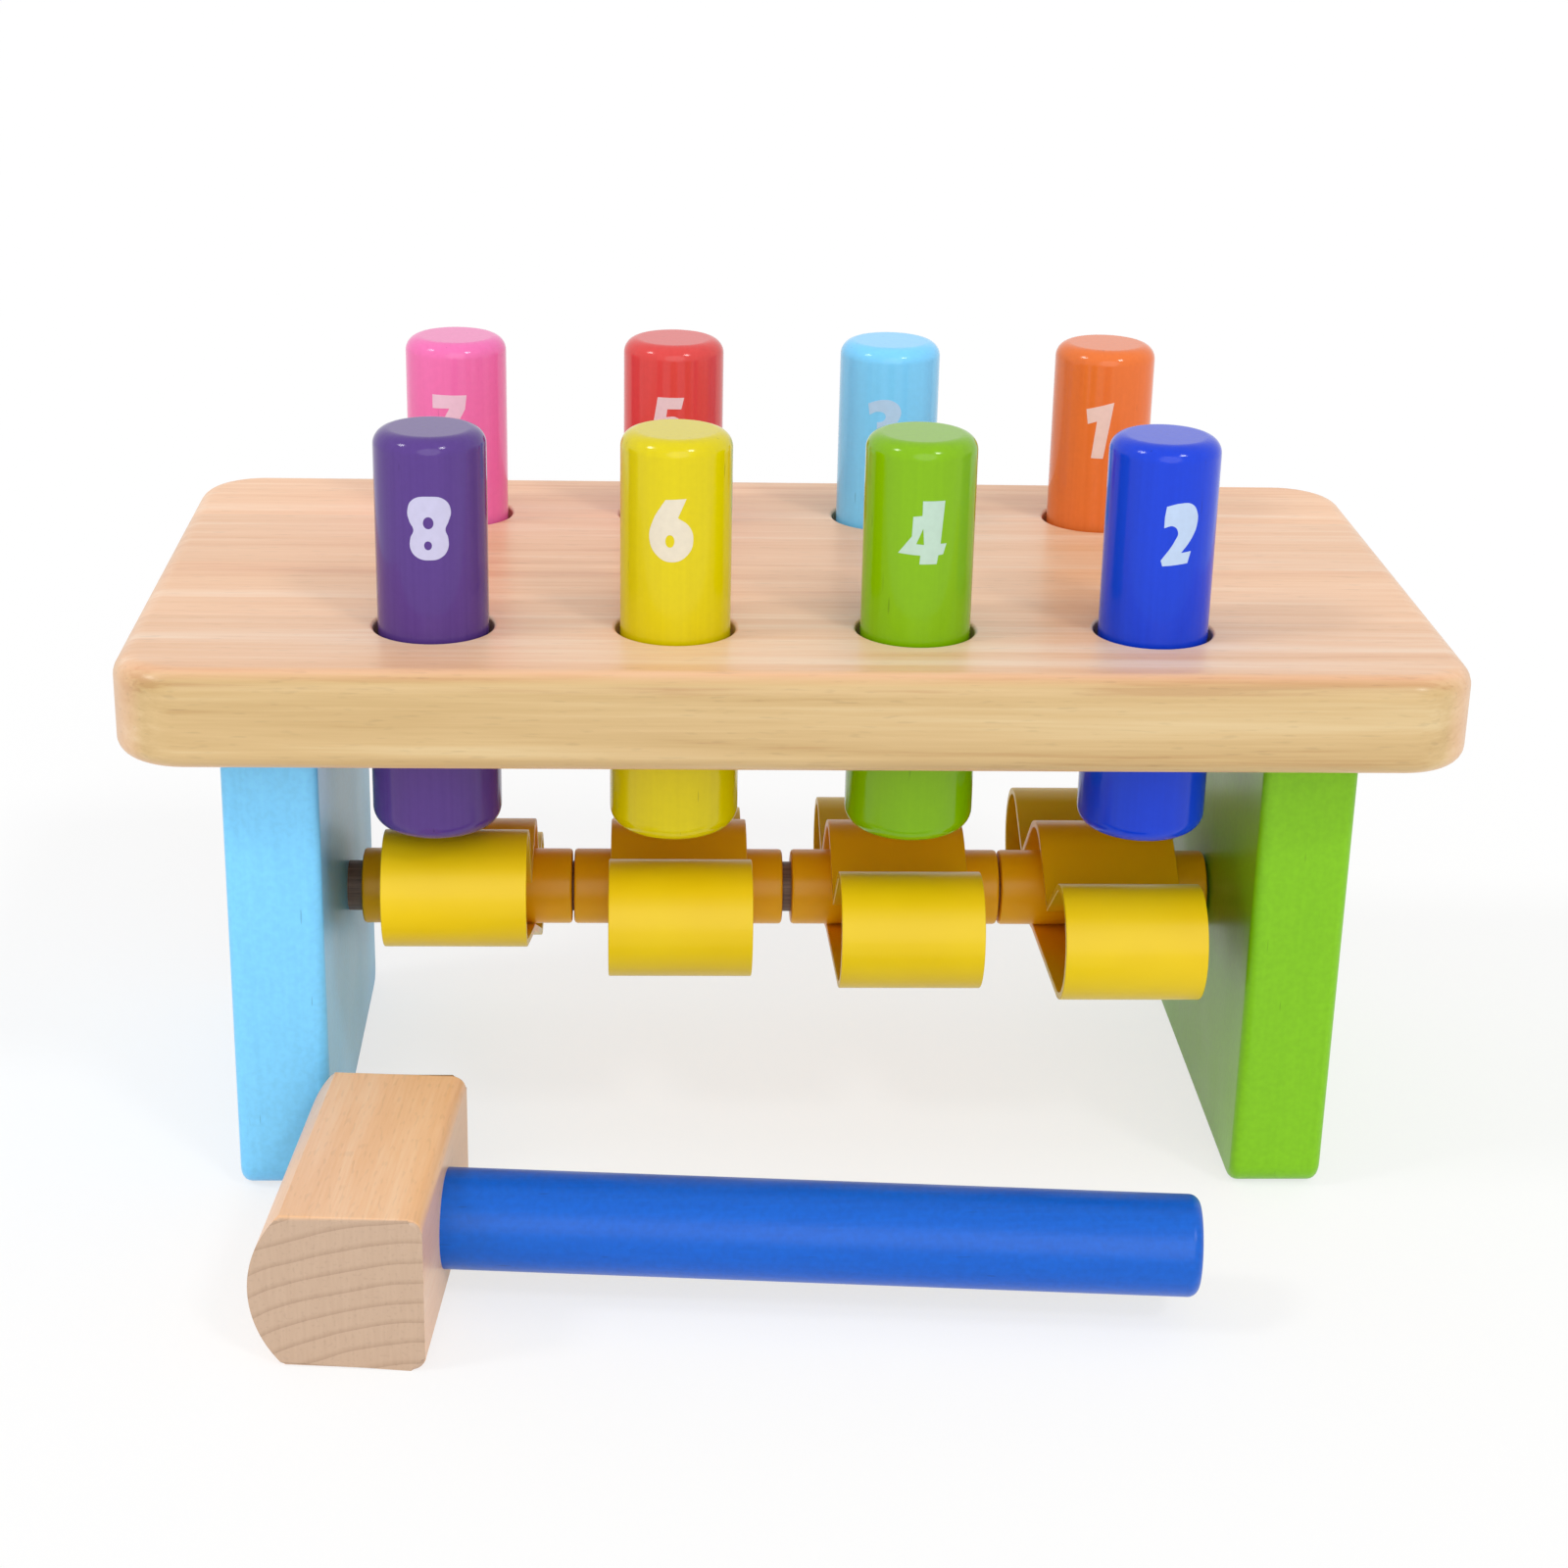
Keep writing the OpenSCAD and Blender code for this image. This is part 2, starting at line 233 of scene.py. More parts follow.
def join_rings(bm, rings, closed=False):
    """Skins a row of equally long point rings with four-sided faces."""
    pairs = list(zip(rings, rings[1:])) + ([(rings[-1], rings[0])] if closed else [])
    for a, b in pairs:
        for i in range(len(a)):
            j = (i + 1) % len(a)
            bm.faces.new((a[i], a[j], b[j], b[i]))


# Moulded ABS: an even gloss from the polished mould and faint flow clouds.
# A deeper orange is painted into the hollows and round the axle core as painted shade, standing for
# light that bounces inside and carries through the thin walls.
abs_yellow, tree = new_material("yellow_moulded_abs")
place = add_node(tree, "ShaderNodeTexCoord")
# Flow clouds some 18 mm across
flow = add_node(tree, "ShaderNodeTexNoise", {"Scale": 1 / 0.018, "Detail": 2.0},
                {"Vector": place.outputs["Object"]})
tone = add_node(tree, "ShaderNodeValToRGB", {"stops": [(0.3, "#E6C307"), (0.7, "#EBCA0E")]},
                {"Fac": flow.outputs["Fac"]})
# Painted shade in the hollows, as far as 14 mm from wall to wall
hollow = add_node(tree, "ShaderNodeAmbientOcclusion",
                  {"samples": 8, "only_local": True, "Distance": 0.014})
open_air = add_node(tree, "ShaderNodeMapRange", {"From Min": 0.35, "From Max": 0.95},
                    {"Value": hollow.outputs["AO"]})
# and painted shade on the core round the axle, out to about 26 mm
axle_low, axle_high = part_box("axle")
axle_mid = (axle_low + axle_high) / 2
spoke = add_node(tree, "ShaderNodeMapping",
                 {"Location": [0, -axle_mid.y, -axle_mid.z], "Scale": [0, 1, 1]},
                 {"Vector": place.outputs["Object"]})
reach = add_node(tree, "ShaderNodeVectorMath", {"operation": "LENGTH"},
                 {0: spoke.outputs["Vector"]})
clear = add_node(tree, "ShaderNodeMapRange", {"From Min": 0.012, "From Max": 0.026},
                 {"Value": reach.outputs["Value"]})
depth = add_node(tree, "ShaderNodeMath", {"operation": "MULTIPLY"},
                 {0: open_air.outputs["Result"], 1: clear.outputs["Result"]})
# The yellow turns to a deep orange of painted shade where it is hollow or near the axle
tone_with_painted_shade = add_node(tree, "ShaderNodeMix", {"data_type": "RGBA", 6: linear("#FFBC00")},
                   {0: depth.outputs["Value"], 7: tone.outputs["Color"]})
# Mould polish marks, 0.7 mm apart across the lobes
stretch = add_node(tree, "ShaderNodeMapping", {"Scale": [1 / 0.030, 1 / 0.0007, 1 / 0.0007]},
                   {"Vector": place.outputs["Object"]})
polish = add_node(tree, "ShaderNodeTexNoise", {"Scale": 1.0, "Detail": 2.0},
                  {"Vector": stretch.outputs["Vector"]})
marks = add_node(tree, "ShaderNodeBump", {"Strength": 0.04, "Distance": 0.0002},
                 {"Height": polish.outputs["Fac"]})
sheen = add_node(tree, "ShaderNodeMapRange", {"To Min": 0.29, "To Max": 0.36},
                 {"Value": flow.outputs["Fac"]})
shader = add_node(tree, "ShaderNodeBsdfPrincipled", {"IOR": 1.36},
                  {"Base Color": tone_with_painted_shade.outputs[2], "Roughness": sheen.outputs["Result"],
                   "Normal": marks.outputs["Normal"]})
add_node(tree, "ShaderNodeOutputMaterial", None, {"Surface": shader.outputs["BSDF"]})

for number, tilt in ((1, 22.5), (2, 14), (3, 10.5), (4, 7)):
    low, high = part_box("rocker_%d" % number)
    hub_half = (high.x - low.x) / 2
    lobe_half = hub_half - hub_out
    turn = Matrix.Translation(((low.x + high.x) / 2, axle_mid.y, axle_mid.z)) \
        @ Matrix.Rotation(math.radians(-tilt), 4, "X")
    bm = bmesh.new()
    # The wall, with its rims rounded over
    section = []
    for a in (math.radians(degrees) for degrees in (0, 30, 60, 90)):
        section.append((-lobe_half + rim_round - rim_round * math.sin(a),
                        rim_round - rim_round * math.cos(a)))
    for a in (math.radians(degrees) for degrees in (0, 30, 60, 90)):
        section.append((-lobe_half + rim_round - rim_round * math.cos(a),
                        wall - rim_round + rim_round * math.sin(a)))
    section = section + [(-x, inset) for x, inset in reversed(section)]
    rings = []
    for x, inset in section:
        rings.append([bm.verts.new(turn @ Vector((x, y, z)))
                      for y, z in rocker_outline(inset)])
    join_rings(bm, rings, closed=True)
    # The web at mid length, let into the wall
    faces = []
    for x in (-web_half, web_half):
        faces.append([bm.verts.new(turn @ Vector((x, y, z)))
                      for y, z in rocker_outline(web_inset)])
    join_rings(bm, faces)
    bm.faces.new(faces[0])
    bm.faces.new(list(reversed(faces[1])))
    # The hub, a tube with softened ends
    tube = [(-hub_half, bore_r), (-hub_half, hub_r - hub_round),
            (-hub_half + hub_round * 0.3, hub_r - hub_round * 0.3), (-hub_half + hub_round, hub_r)]
    tube = tube + [(-x, r) for x, r in reversed(tube)]
    rings = []
    for x, r in tube:
        rings.append([bm.verts.new(turn @ Vector((x, r * math.cos(a), r * math.sin(a))))
                      for a in (2 * math.pi * i / hub_steps for i in range(hub_steps))])
    join_rings(bm, rings, closed=True)
    set_piece("rocker_%d_moulding" % number, bm, abs_yellow, "rocker_%d" % number,
              "rocker_%d" % number, crease=28)


# Dowels: short beech pins that join the legs to the board, glued and hidden inside the wood.
# Bare turned wood, with a straight pale grain along the pin.
pin_wood, tree = new_material("bare_beech_dowel")
place = add_node(tree, "ShaderNodeTexCoord")
# Grain lines 0.6 mm apart
stretch = add_node(tree, "ShaderNodeMapping", {"Scale": [1 / 0.0006, 1 / 0.0006, 1 / 0.020]},
                   {"Vector": place.outputs["Object"]})
grain = add_node(tree, "ShaderNodeTexNoise", {"Scale": 1.0, "Detail": 3.0},
                 {"Vector": stretch.outputs["Vector"]})
tone = add_node(tree, "ShaderNodeValToRGB", {"stops": [(0.3, "#C99B6E"), (0.7, "#E2C299")]},
                {"Fac": grain.outputs["Fac"]})
shader = add_node(tree, "ShaderNodeBsdfPrincipled", {"Roughness": 0.7, "IOR": 1.5},
                  {"Base Color": tone.outputs["Color"]})
add_node(tree, "ShaderNodeOutputMaterial", None, {"Surface": shader.outputs["BSDF"]})
for pin in ("left_front_dowel", "left_back_dowel", "right_front_dowel", "right_back_dowel"):
    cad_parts[pin].data.materials.clear()
    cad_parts[pin].data.materials.append(pin_wood)


# Board: the bench's top, glued up from four staves of pale beech that run its whole length.
# Planed, bored for the pegs, rounded over along all edges, sanded and finished
# with clear satin lacquer.
board_low, board_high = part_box("top_board")
mid = (board_low + board_high) / 2
board_w, board_d = board_high.x - board_low.x, board_high.y - board_low.y
corner_r, edge_r, hole_r, lip_r = 0.013, 0.004, 0.0108, 0.0007
corner_steps, edge_steps, lip_steps = 12, 8, 4
# The lower edge is rounded over three quarters as far as the upper one
under_share = 0.75


def board_ring(bm, inset, z):
    """The board's plan with rounded corners, set in from its edge."""
    points = []
    for cx, cy, first in ((1, 1, 0), (-1, 1, 90), (-1, -1, 180), (1, -1, 270)):
        for i in range(corner_steps + 1):
            a = math.radians(first + 90 * i / corner_steps)
            points.append((mid.x + cx * (board_w / 2 - corner_r) + (corner_r - inset) * math.cos(a),
                           mid.y + cy * (board_d / 2 - corner_r) + (corner_r - inset) * math.sin(a),
                           z))
    return [bm.verts.new(p) for p in points]


def turned_ring(bm, centre, r, z, steps=72):
    """A level ring of points round an upright axis."""
    angles = [2 * math.pi * i / steps for i in range(steps)]
    return [bm.verts.new((centre[0] + r * math.cos(a), centre[1] + r * math.sin(a), z))
            for a in angles]


bm = bmesh.new()
edge_rings = []
for i in range(edge_steps + 1):
    a = math.radians(90 * i / edge_steps)
    edge_rings.append((edge_r - edge_r * math.sin(a), board_high.z - edge_r + edge_r * math.cos(a)))
edge_rings += [(inset * under_share, board_low.z + (board_high.z - z) * under_share)
               for inset, z in reversed(edge_rings)]
edge_rings = [board_ring(bm, inset, z) for inset, z in edge_rings]
join_rings(bm, edge_rings)
mouths = [[edge_rings[0]], [edge_rings[-1]]]
for number in range(1, 9):
    peg_low, peg_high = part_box("peg_%d" % number)
    centre = (peg_low + peg_high) / 2
    lip = []
    for i in range(lip_steps + 1):
        a = math.radians(90 * i / lip_steps)
        lip.append((hole_r + lip_r - lip_r * math.sin(a),
                    board_high.z - lip_r + lip_r * math.cos(a)))
    lip += [(r, board_low.z + board_high.z - z) for r, z in reversed(lip)]
    bore = [turned_ring(bm, centre, r, z) for r, z in lip]
    join_rings(bm, bore)
    mouths[0].append(bore[0])
    mouths[1].append(bore[-1])
for rings in mouths:
    outline = []
    for ring in rings:
        for i in range(len(ring)):
            outline.append(bm.edges.get((ring[i], ring[(i + 1) % len(ring)])))
    bmesh.ops.triangle_fill(bm, use_beauty=True, use_dissolve=False, edges=outline)

# Beech under clear satin lacquer: soft bands, fibres and flecks along the staves
beech_board, tree = new_material("clear_lacquered_beech_staves")
place = add_node(tree, "ShaderNodeTexCoord")
split = add_node(tree, "ShaderNodeSeparateXYZ", None, {"Vector": place.outputs["Object"]})
# Four staves 33 mm wide, each cut from another place in the plank
stave = add_node(tree, "ShaderNodeMath", {"operation": "MULTIPLY_ADD", 1: 1 / 0.033, 2: 0.30},
                 {0: split.outputs["Y"]})
stave_number = add_node(tree, "ShaderNodeMath", {"operation": "FLOOR"}, {0: stave.outputs["Value"]})
dice = add_node(tree, "ShaderNodeTexWhiteNoise", {"noise_dimensions": "1D"},
                {"W": stave_number.outputs["Value"]})
shift = add_node(tree, "ShaderNodeVectorMath", {"operation": "SCALE", "Scale": 3.0},
                 {"Vector": dice.outputs["Color"]})
plank = add_node(tree, "ShaderNodeVectorMath", {"operation": "ADD"},
                 {0: place.outputs["Object"], 1: shift.outputs["Vector"]})
# Growth figure: bands 8 mm from one to the next that run some 200 mm and wander a little
bands_at = add_node(tree, "ShaderNodeMapping", {"Scale": [1 / 0.20, 1 / 0.008, 1 / 0.008]},
                    {"Vector": plank.outputs["Vector"]})
bands = add_node(tree, "ShaderNodeTexNoise",
                 {"Scale": 1.0, "Detail": 5.0, "Roughness": 0.6, "Distortion": 0.3},
                 {"Vector": bands_at.outputs["Vector"]})
# Fibres 1.6 mm wide and about 50 mm long, drawn coarser than real ones so that they show
fibres_at = add_node(tree, "ShaderNodeMapping", {"Scale": [1 / 0.050, 1 / 0.0016, 1 / 0.0011]},
                     {"Vector": plank.outputs["Vector"]})
fibres = add_node(tree, "ShaderNodeTexNoise", {"Scale": 1.0, "Detail": 4.0, "Roughness": 0.6},
                  {"Vector": fibres_at.outputs["Vector"]})
# Ray flecks: short darker dashes, 5 mm by 0.7 mm
flecks_at = add_node(tree, "ShaderNodeMapping", {"Scale": [1 / 0.005, 1 / 0.0007, 1 / 0.0007]},
                     {"Vector": plank.outputs["Vector"]})
flecks = add_node(tree, "ShaderNodeTexNoise", {"Scale": 1.0, "Detail": 1.0},
                  {"Vector": flecks_at.outputs["Vector"]})
figure = add_node(tree, "ShaderNodeMath", {"operation": "MULTIPLY_ADD", 1: 0.4},
                  {0: fibres.outputs["Fac"], 2: bands.outputs["Fac"]})
face_tone = add_node(tree, "ShaderNodeValToRGB",
                     {"stops": [(0.48, "#DFA67C"), (0.63, "#EAB98F"), (0.74, "#EEC099"),
                                (0.90, "#F4D2B4")]}, {"Fac": figure.outputs["Value"]})
# The long edges are sawn across the rings: yellower, with browner lines
edge_tone = add_node(tree, "ShaderNodeValToRGB",
                     {"stops": [(0.52, "#BC9560"), (0.61, "#CAA973"), (0.74, "#D3B37E"),
                                (0.90, "#DCC190")]}, {"Fac": figure.outputs["Value"]})
facing = add_node(tree, "ShaderNodeNewGeometry")
normal = add_node(tree, "ShaderNodeSeparateXYZ", None, {"Vector": facing.outputs["Normal"]})
side_on = add_node(tree, "ShaderNodeMath", {"operation": "ABSOLUTE"}, {0: normal.outputs["Y"]})
side_mix = add_node(tree, "ShaderNodeMapRange", {"From Min": 0.4, "From Max": 0.85},
                    {"Value": side_on.outputs["Value"]})
wood_tone = add_node(tree, "ShaderNodeMix", {"data_type": "RGBA"},
                     {0: side_mix.outputs["Result"], 6: face_tone.outputs["Color"],
                      7: edge_tone.outputs["Color"]})
# The ends show end grain: an even tan, with little of the figure
end_tone = add_node(tree, "ShaderNodeValToRGB", {"stops": [(0.5, "#DDAF84"), (0.9, "#E6BE96")]},
                    {"Fac": figure.outputs["Value"]})
end_on = add_node(tree, "ShaderNodeMath", {"operation": "ABSOLUTE"}, {0: normal.outputs["X"]})
end_mix = add_node(tree, "ShaderNodeMapRange", {"From Min": 0.5, "From Max": 0.9},
                   {"Value": end_on.outputs["Value"]})
wood_tone = add_node(tree, "ShaderNodeMix", {"data_type": "RGBA"},
                     {0: end_mix.outputs["Result"], 6: wood_tone.outputs[2],
                      7: end_tone.outputs["Color"]})
# Each stave is a little lighter or darker than the next
stave_tone = add_node(tree, "ShaderNodeMapRange", {"To Min": 0.93, "To Max": 1.05},
                      {"Value": dice.outputs["Value"]})
fleck_tone = add_node(tree, "ShaderNodeMapRange",
                      {"From Min": 0.62, "From Max": 0.75, "To Min": 1.0, "To Max": 0.90},
                      {"Value": flecks.outputs["Fac"]})
tone = add_node(tree, "ShaderNodeMath", {"operation": "MULTIPLY"},
                {0: stave_tone.outputs["Result"], 1: fleck_tone.outputs["Result"]})
colour = add_node(tree, "ShaderNodeVectorMath", {"operation": "SCALE"},
                  {0: wood_tone.outputs[2], "Scale": tone.outputs["Value"]})
relief = add_node(tree, "ShaderNodeBump", {"Strength": 0.12, "Distance": 0.0003},
                  {"Height": fibres.outputs["Fac"]})
sheen = add_node(tree, "ShaderNodeMapRange", {"To Min": 0.34, "To Max": 0.5},
                 {"Value": bands.outputs["Fac"]})
shader = add_node(tree, "ShaderNodeBsdfPrincipled",
                  {"IOR": 1.45, "Coat Weight": 0.25, "Coat Roughness": 0.22},
                  {"Base Color": colour.outputs["Vector"], "Roughness": sheen.outputs["Result"],
                   "Normal": relief.outputs["Normal"]})
add_node(tree, "ShaderNodeOutputMaterial", None, {"Surface": shader.outputs["BSDF"]})
set_piece("board_of_staves", bm, beech_board, "bench", "top_board")


# Pegs: turned hardwood rods that slide in the board's holes, each in its own gloss lacquer.
# A thicker lower end keeps each one captive, and both ends are rounded over on the lathe.
shank_r, thick_r, thick_l = 0.010, 0.0118, 0.0185
top_round, low_round, shoulder_round = 0.003, 0.0035, 0.001
peg_steps = 96
# The printed numerals: their height, their middle below the peg's top, and the coat of ink
numeral_h, numeral_drop, ink_coat = 0.0115, 0.0157, 0.00008


def arc_points(r, z, round_r, first, last, steps):
    """Points round an edge, as (radius, height), from one angle to another."""
    angles = [math.radians(first + (last - first) * i / steps) for i in range(steps + 1)]
    return [(r + round_r * math.cos(a), z + round_r * math.sin(a)) for a in angles]


def peg_profile(low_z, high_z):
    """A peg's half section, as (radius, height) from its foot to its top."""
    shoulder = low_z + thick_l
    return arc_points(thick_r - low_round, low_z + low_round, low_round, -90, 0, 10) \
        + arc_points(thick_r - shoulder_round, shoulder - shoulder_round,
                     shoulder_round, 0, 90, 5) \
        + [(shank_r, shoulder)] \
        + arc_points(shank_r - top_round, high_z - top_round, top_round, 0, 90, 10)


# Numerals on a grid 100 high: (across, up) points of smooth curves,
# and (across, up, 1) at sharp corners
numerals = {
    1: [[(-24, 86, 1), (24, 100, 1), (10, 0, 1), (-11, 0, 1), (-4, 66, 1), (-20, 60, 1)]],
    2: [[(-24, 95, 1), (-3, 100), (16, 98), (27, 84), (28, 64), (20, 44), (3, 21, 1), (20, 23, 1),
         (15, 4, 1), (-25, 0, 1), (-28, 9, 1), (-8, 41), (-4, 54), (-12, 64), (-26, 61, 1),
         (-26, 78, 1)]],
    3: [[(-28, 92, 1), (-4, 100), (18, 97), (30, 82), (26, 64), (14, 53, 1), (28, 44), (33, 26),
         (23, 7), (0, 0), (-29, 6, 1), (-25, 28, 1), (-8, 22), (4, 28), (3, 40), (-11, 42, 1),
         (-11, 60, 1), (1, 64), (3, 74), (-9, 79), (-25, 72, 1)]],
    4: [[(-2, 100, 1), (33, 100, 1), (28, 32, 1), (38, 32, 1), (33, 15, 1), (25, 14, 1), (23, 0, 1),
         (-4, 0, 1), (-3, 14, 1), (-38, 16, 1), (-17, 44, 1), (-16, 75, 1), (-2, 77, 1)],
        [(0, 57, 1), (2, 31, 1), (-10, 32, 1)]],
    5: [[(-16, 100, 1), (30, 100, 1), (25, 80, 1), (1, 80, 1), (-1, 66, 1), (16, 66), (29, 51),
         (30, 30), (20, 8), (-2, 0), (-25, 4, 1), (-26, 26, 1), (-8, 22), (3, 30), (1, 42),
         (-11, 46), (-26, 42, 1)]],
    6: [[(-8, 98, 1), (24, 100, 1), (11, 70, 1), (28, 57), (35, 37), (27, 12), (2, 0), (-23, 11),
         (-34, 36), (-28, 64), (-14, 89)],
        [(-8, 33), (-1, 43), (6, 33), (-1, 23)]],
    7: [[(-30, 100, 1), (30, 100, 1), (27, 76, 1), (8, 36), (2, 0, 1), (-26, 0, 1), (-18, 40),
         (0, 77, 1), (-30, 76, 1)]],
    8: [[(0, 100), (25, 94), (34, 76), (30, 60), (25, 48), (29, 34), (28, 16), (18, 4), (0, 0),
         (-19, 4), (-29, 16), (-29, 34), (-24, 47), (-30, 60), (-33, 76), (-25, 94)],
        [(-9, 58), (-1, 68), (7, 58), (-1, 49)],
        [(-8, 23), (-2, 30), (4, 23), (-2, 16)]],
}


def screen_ink(name, colour):
    """White screen ink in one thin coat: the lacquer below shines through a little and tints it."""
    material, tree = new_material(name)
    place = add_node(tree, "ShaderNodeTexCoord")
    # Thin spots 1.2 mm across
    thin = add_node(tree, "ShaderNodeTexNoise", {"Scale": 1 / 0.0012, "Detail": 3.0},
                    {"Vector": place.outputs["Object"]})
    cover = add_node(tree, "ShaderNodeMapRange", {"To Min": 0.92, "To Max": 1.06},
                     {"Value": thin.outputs["Fac"]})
    tone = add_node(tree, "ShaderNodeVectorMath", {"operation": "SCALE", 0: linear(colour)[:3]},
                    {"Scale": cover.outputs["Result"]})
    shader = add_node(tree, "ShaderNodeBsdfPrincipled", {"Roughness": 0.32, "IOR": 1.42},
                      {"Base Color": tone.outputs["Vector"]})
    add_node(tree, "ShaderNodeOutputMaterial", None, {"Surface": shader.outputs["BSDF"]})
    return material


def numeral_mesh(loops, centre, mid_z, turn):
    """A bold numeral in one coat of ink, half sunk in the lacquer, round the front of a peg."""
    drawing = bpy.data.curves.new("numeral", "CURVE")
    drawing.dimensions = "2D"
    drawing.fill_mode = "BOTH"
    drawing.resolution_u = 8
    for loop in loops:
        spline = drawing.splines.new("BEZIER")
        spline.use_cyclic_u = True
        spline.bezier_points.add(len(loop) - 1)
        for point, (x, y, *sharp) in zip(spline.bezier_points, loop):
            point.co = (x, y - 50, 0)
            bend = "VECTOR" if sharp else "AUTO"
            point.handle_left_type = point.handle_right_type = bend
    sheet = bpy.data.objects.new("numeral", drawing)
    bpy.context.scene.collection.objects.link(sheet)
    bpy.context.view_layer.update()
    filled = sheet.evaluated_get(bpy.context.evaluated_depsgraph_get())
    flat = bpy.data.meshes.new_from_object(filled)
    bpy.data.objects.remove(sheet)
    bm = bmesh.new()
    bm.from_mesh(flat)
    bpy.data.meshes.remove(flat)
    bmesh.ops.scale(bm, vec=[numeral_h / 100] * 3, verts=bm.verts)
    bmesh.ops.remove_doubles(bm, verts=bm.verts, dist=near)
    # Cut into narrow upright strips, so that the print follows the round
    strip = 0.0006
    for i in range(-9, 10):
        bmesh.ops.bisect_plane(bm, geom=bm.verts[:] + bm.edges[:] + bm.faces[:],
                               plane_co=(i * strip, 0, 0), plane_no=(1, 0, 0))
    top = bmesh.ops.extrude_face_region(bm, geom=bm.faces[:])
    for v in top["geom"]:
        if isinstance(v, bmesh.types.BMVert):
            v.co.z = ink_coat
    for v in bm.verts:
        a = v.co.x / shank_r + math.radians(turn)
        r = shank_r - ink_coat / 2 + v.co.z
        v.co = (centre.x + r * math.sin(a), centre.y - r * math.cos(a), mid_z + v.co.y)
    return bm


for number, colour, shade, print_colour, slot, turn in (
        (8, "#573A87", "#523582", "#C2C0DE", "purple_lacquer", 2),
        (6, "#D9C800", "#D4C200", "#DED5C0", "yellow_lacquer", -6),
        (4, "#7FB400", "#7BAF00", "#B6D1C0", "grass_green_lacquer", -1),
        (2, "#0E3ED2", "#0A3ACC", "#B6CBE8", "royal_blue_lacquer", 11),
        (7, "#EE73B4", "#EA6DAE", "#E8C1D8", "pink_lacquer", -5),
        (5, "#DB4846", "#D64341", "#E4C6CE", "red_lacquer", -8),
        (3, "#7CD0FF", "#78CCFC", "#ACCFF0", "light_blue_lacquer", -10),
        (1, "#E77634", "#E27130", "#EACAC0", "orange_lacquer", -11)):
    low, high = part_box("peg_%d" % number)
    centre = (low + high) / 2
    bm = bmesh.new()
    rings = [turned_ring(bm, centre, r, z, peg_steps) for r, z in peg_profile(low.z, high.z)]
    join_rings(bm, rings)
    bm.faces.new(rings[0])
    bm.faces.new(rings[-1])
    lacquer = gloss_lacquer(slot, colour, shade, grain=(0, 0, 1))
    set_piece("peg_%d_turned" % number, bm, lacquer, "peg_%d" % number, "peg_%d" % number)
    print_mesh = numeral_mesh(numerals[number], centre, high.z - numeral_drop, turn)
    ink = screen_ink("white_screen_ink_%d" % number, print_colour)
    set_piece("numeral_%d" % number, print_mesh, ink, "peg_%d" % number, None)


# Mallet head: a block of beech with flat top, bottom and handle side, and a bulging back.
# Sawn, shaped on the sander, its edges broken by hand, and finished with clear satin lacquer.
head_l, head_h, head_w, bulge_r = 0.054, 0.029, 0.030, 0.021
edge_round, end_arris, bulge_steps = 0.0025, 0.0008, 32
mallet_turn = math.radians(-4.5)
handle_r, handle_out, handle_in = 0.009, 0.133, 0.020
# Where the handle's axis comes out of the head's handle side
at_head = Vector((-0.0618, (board_low.y + board_high.y) / 2 - 0.083, head_h / 2))
lay = Matrix.Translation(at_head) @ Matrix.Rotation(mallet_turn, 4, "Z")

bulge = []
reach = math.asin(head_h / 2 / bulge_r)
for i in range(bulge_steps + 1):
    a = math.pi - reach + 2 * reach * i / bulge_steps
    bulge.append((bulge_r - head_w + bulge_r * math.cos(a), bulge_r * math.sin(a)))
end_view = bulge \
    + arc_points(-edge_round, edge_round - head_h / 2, edge_round, -90, 0, 6) \
    + arc_points(-edge_round, head_h / 2 - edge_round, edge_round, 0, 90, 6)
bm = bmesh.new()
ends = []
for y in (-head_l / 2, head_l / 2):
    ends.append([bm.verts.new(lay @ Vector((x, y, z))) for x, z in end_view])
join_rings(bm, ends)
faces = [bm.faces.new(ends[0]), bm.faces.new(ends[1])]
arrises = [e for face in faces for e in face.edges]
bmesh.ops.bevel(bm, geom=arrises, offset=end_arris, segments=3, profile=0.5, affect="EDGES")

# Beech under clear satin lacquer: fine straight grain and short flecks along the block,
# and greyer end grain with soft growth rings and rays across them
beech_head, tree = new_material("clear_lacquered_beech_block")
place = add_node(tree, "ShaderNodeTexCoord")
# The block's own axes: grain along its length
block = add_node(tree, "ShaderNodeMapping",
                 {"vector_type": "TEXTURE", "Location": list(at_head),
                  "Rotation": [0, 0, mallet_turn]}, {"Vector": place.outputs["Object"]})
# Growth rings 3.9 mm apart round a heart 75 mm below, each with a thin dark line of late wood
heart = add_node(tree, "ShaderNodeMapping", {"Location": [-0.006, 0, 0.075], "Scale": [1, 0.05, 1]},
                 {"Vector": block.outputs["Vector"]})
rings = add_node(tree, "ShaderNodeTexWave",
                 {"wave_type": "RINGS", "rings_direction": "Y", "wave_profile": "SAW",
                  "Scale": 2 * math.pi / 20 / 0.0039, "Distortion": 2.5, "Detail": 2.0,
                  "Detail Scale": 0.5}, {"Vector": heart.outputs["Vector"]})
# Streaks 6 mm wide, fibres 0.5 mm wide, and rays 0.5 mm wide and 4 mm high in the end grain
streaks_at = add_node(tree, "ShaderNodeMapping", {"Scale": [1 / 0.006, 1 / 0.090, 1 / 0.012]},
                      {"Vector": block.outputs["Vector"]})
streaks = add_node(tree, "ShaderNodeTexNoise", {"Scale": 1.0, "Detail": 3.0},
                   {"Vector": streaks_at.outputs["Vector"]})
fibres_at = add_node(tree, "ShaderNodeMapping", {"Scale": [1 / 0.0005, 1 / 0.012, 1 / 0.0005]},
                     {"Vector": block.outputs["Vector"]})
fibres = add_node(tree, "ShaderNodeTexNoise", {"Scale": 1.0, "Detail": 3.0},
                  {"Vector": fibres_at.outputs["Vector"]})
rays_at = add_node(tree, "ShaderNodeMapping", {"Scale": [1 / 0.0005, 1 / 0.002, 1 / 0.004]},
                   {"Vector": block.outputs["Vector"]})
